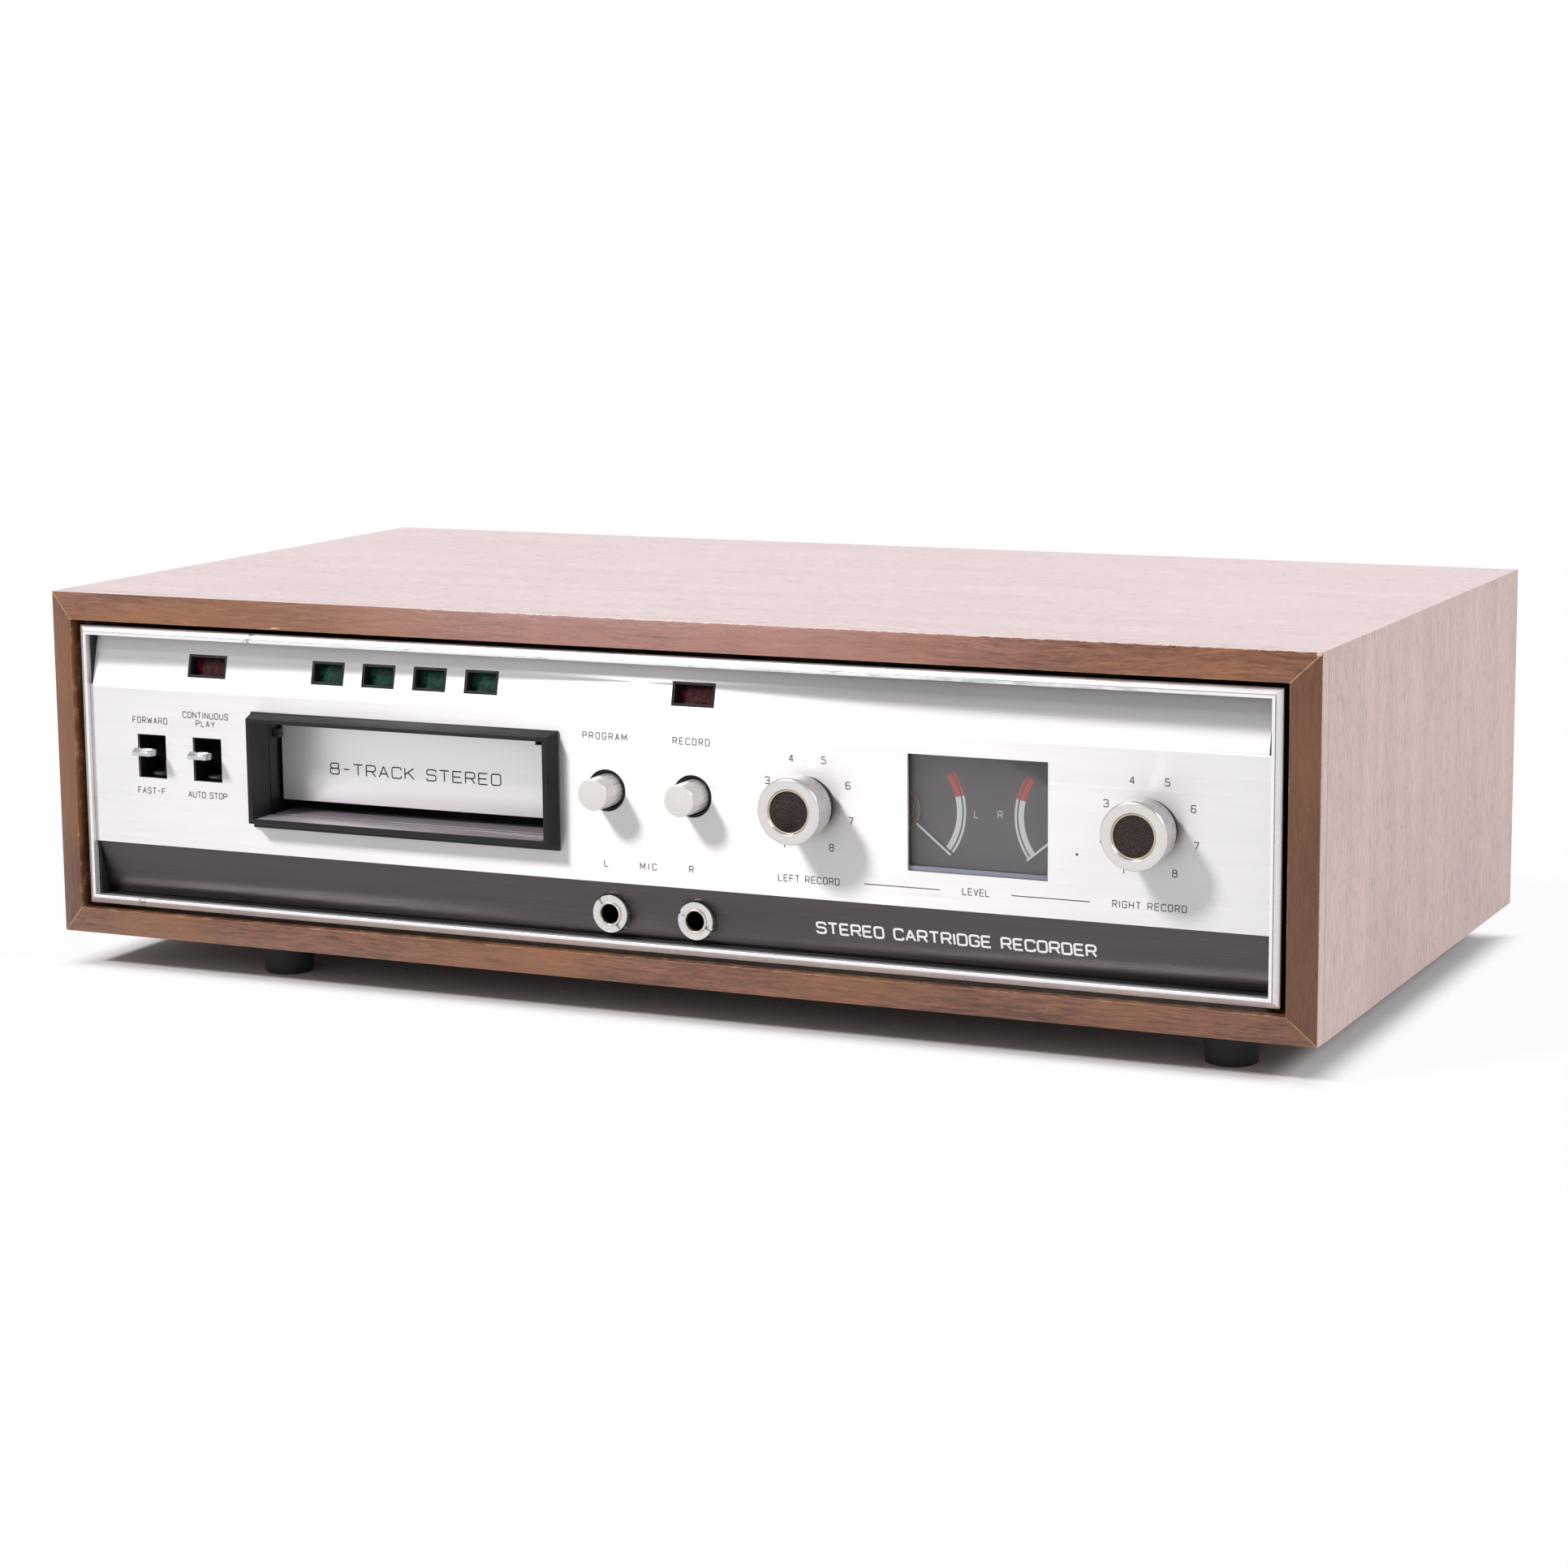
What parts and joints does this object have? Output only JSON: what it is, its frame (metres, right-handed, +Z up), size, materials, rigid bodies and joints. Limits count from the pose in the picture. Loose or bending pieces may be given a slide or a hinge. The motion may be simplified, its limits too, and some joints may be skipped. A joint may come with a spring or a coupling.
{
  "type": "8 track cartridge tape recorder deck",
  "caption": "Tabletop stereo 8 track cartridge recorder: mitred walnut box, brushed aluminium fascia, slot with swing-in door, level knobs, twin-needle meter and mic jacks.",
  "frame": {"origin": "on the floor under the middle of the deck's footprint, knobs included", "axes": "+X to the deck's right as seen from the front, -Y out of the front panel, +Z up"},
  "size_m": [0.44, 0.2454, 0.128],
  "materials": {
    "walnut": "satin",
    "lipping": "satin",
    "hardboard": "matt",
    "rubber": "matt",
    "screw_steel": "satin",
    "bright_trim": "polished",
    "black_plastic": "satin",
    "brushed_panel": "brushed",
    "dark_band": "brushed",
    "red_lens": "gloss",
    "green_lens": "gloss",
    "spun_aluminium": "spun",
    "dial_black": "matt",
    "meter_lens": "clear",
    "needle_white": "painted",
    "plated": "zinc plated",
    "jack_metal": "nickel plated",
    "bronze": "plain",
    "wheel_metal": "turned",
    "cream_plastic": "satin",
    "coil": "varnished",
    "core_iron": "varnished",
    "circuit_board": "satin"
  },
  "bodies": {
    "deck": {"cabinet_top": "walnut", "cabinet_bottom": "walnut", "cabinet_left": "walnut", "cabinet_right": "walnut", "front_lipping": "lipping", "back_panel": "hardboard", "back_screws": "screw_steel", "cord_grommet": "rubber", "feet": "rubber", "foot_screws": "screw_steel", "trim_rim": "bright_trim", "fascia_frame": "black_plastic", "fascia_panel": "brushed_panel", "lower_band": "dark_band", "lamp_housing": "black_plastic", "red_lenses": "red_lens", "program_lenses": "green_lens", "lamp_board": "circuit_board", "cartridge_bezel": "black_plastic", "door_pin": "screw_steel", "door_spring": "screw_steel", "cartridge_guide": "black_plastic", "switch_bodies": "black_plastic", "button_switches": "black_plastic", "level_pots": "plated", "meter_case": "black_plastic", "meter_dial": "dial_black", "meter_window": "meter_lens", "mic_jacks": "jack_metal", "jack_nuts": "bright_trim", "chassis": "plated", "capstan_bearing": "bronze", "motor": "plated", "drive_belt": "rubber", "solenoid": "coil", "transformer": "core_iron", "main_board": "circuit_board", "phono_sockets": "jack_metal"},
    "door": {"cartridge_door": "brushed_panel"},
    "tape_lever": {"tape_lever": "black_plastic", "tape_lever_cap": "bright_trim"},
    "play_lever": {"play_lever": "black_plastic", "play_lever_cap": "bright_trim"},
    "program_button": {"program_button": "spun_aluminium"},
    "record_button": {"record_button": "spun_aluminium"},
    "left_knob": {"left_knob": "spun_aluminium", "left_knob_core": "black_plastic", "left_shaft": "screw_steel"},
    "right_knob": {"right_knob": "spun_aluminium", "right_knob_core": "black_plastic", "right_shaft": "screw_steel"},
    "left_needle": {"left_needle": "needle_white"},
    "right_needle": {"right_needle": "needle_white"},
    "capstan_flywheel": {"flywheel": "wheel_metal"},
    "motor_rotor": {"motor_pulley": "bronze"},
    "program_cam": {"program_cam": "cream_plastic"},
    "head_carriage": {"head_carriage": "cream_plastic", "tape_head": "screw_steel"},
    "solenoid_plunger": {"solenoid_plunger": "screw_steel"},
    "latch_arm": {"latch_arm": "screw_steel"}
  },
  "joints": [
    {"name": "door_swing", "type": "hinge", "parent": "deck", "child": "door", "pos_m": [-0.08495, -0.09625, 0.087], "axis": [1, 0, 0], "range_deg": [0, 80], "stiffness_Nm_per_rad": 0.004, "springref_deg": -28.65, "deforming": ["door_spring"]},
    {"name": "tape_lever_tilt", "type": "hinge", "parent": "deck", "child": "tape_lever", "pos_m": [-0.18165, -0.09425, 0.0742], "axis": [1, 0, 0], "range_deg": [0, 13.2]},
    {"name": "play_lever_tilt", "type": "hinge", "parent": "deck", "child": "play_lever", "pos_m": [-0.15985, -0.09425, 0.0742], "axis": [1, 0, 0], "range_deg": [0, 13.2]},
    {"name": "program_press", "type": "slide", "parent": "deck", "child": "program_button", "axis": [0, 1, 0], "range_m": [0, 0.003], "stiffness_N_per_m": 300, "springref_m": -0.002},
    {"name": "record_press", "type": "slide", "parent": "deck", "child": "record_button", "axis": [0, 1, 0], "range_m": [0, 0.003], "stiffness_N_per_m": 300, "springref_m": -0.002},
    {"name": "left_level_turn", "type": "hinge", "parent": "deck", "child": "left_knob", "pos_m": [0.0581, -0.10725, 0.0735], "axis": [0, 1, 0], "range_deg": [-150, 150]},
    {"name": "right_level_turn", "type": "hinge", "parent": "deck", "child": "right_knob", "pos_m": [0.1683, -0.10725, 0.0735], "axis": [0, 1, 0], "range_deg": [-150, 150]},
    {"name": "left_needle_swing", "type": "hinge", "parent": "deck", "child": "left_needle", "pos_m": [0.0874, -0.10225, 0.0733], "axis": [0, -1, 0], "range_deg": [0, 75], "stiffness_Nm_per_rad": 0.00005, "springref_deg": -17.19},
    {"name": "right_needle_swing", "type": "hinge", "parent": "deck", "child": "right_needle", "pos_m": [0.1439, -0.10225, 0.0733], "axis": [0, 1, 0], "range_deg": [0, 75], "stiffness_Nm_per_rad": 0.00005, "springref_deg": -17.19},
    {"name": "capstan_spin", "type": "hinge", "parent": "deck", "child": "capstan_flywheel", "pos_m": [-0.04795, -0.01025, 0.036], "axis": [0, 0, 1], "continuous": true},
    {"name": "motor_spin", "type": "hinge", "parent": "deck", "child": "motor_rotor", "pos_m": [0.022, 0.02075, 0.036], "axis": [0, 0, 1], "continuous": true},
    {"name": "cam_turn", "type": "hinge", "parent": "deck", "child": "program_cam", "pos_m": [-0.09395, 0.01875, 0.067], "axis": [1, 0, 0], "range_deg": [0, 270]},
    {"name": "head_lift", "type": "slide", "parent": "deck", "child": "head_carriage", "axis": [0, 0, 1], "range_m": [0, 0.00244]},
    {"name": "plunger_pull", "type": "slide", "parent": "deck", "child": "solenoid_plunger", "axis": [0, 1, 0], "range_m": [0, 0.005], "stiffness_N_per_m": 80, "springref_m": -0.004},
    {"name": "latch_swing", "type": "hinge", "parent": "deck", "child": "latch_arm", "pos_m": [-0.14545, -0.04325, 0.068], "axis": [0, 0, -1], "range_deg": [0, 6], "stiffness_Nm_per_rad": 0.05, "springref_deg": -8.59}
  ],
  "couplings": [
    {"joint": "motor_spin", "follows": "capstan_spin", "ratio": 9.083},
    {"joint": "cam_turn", "follows": "head_lift", "rad_per_m": 1931.3}
  ]
}
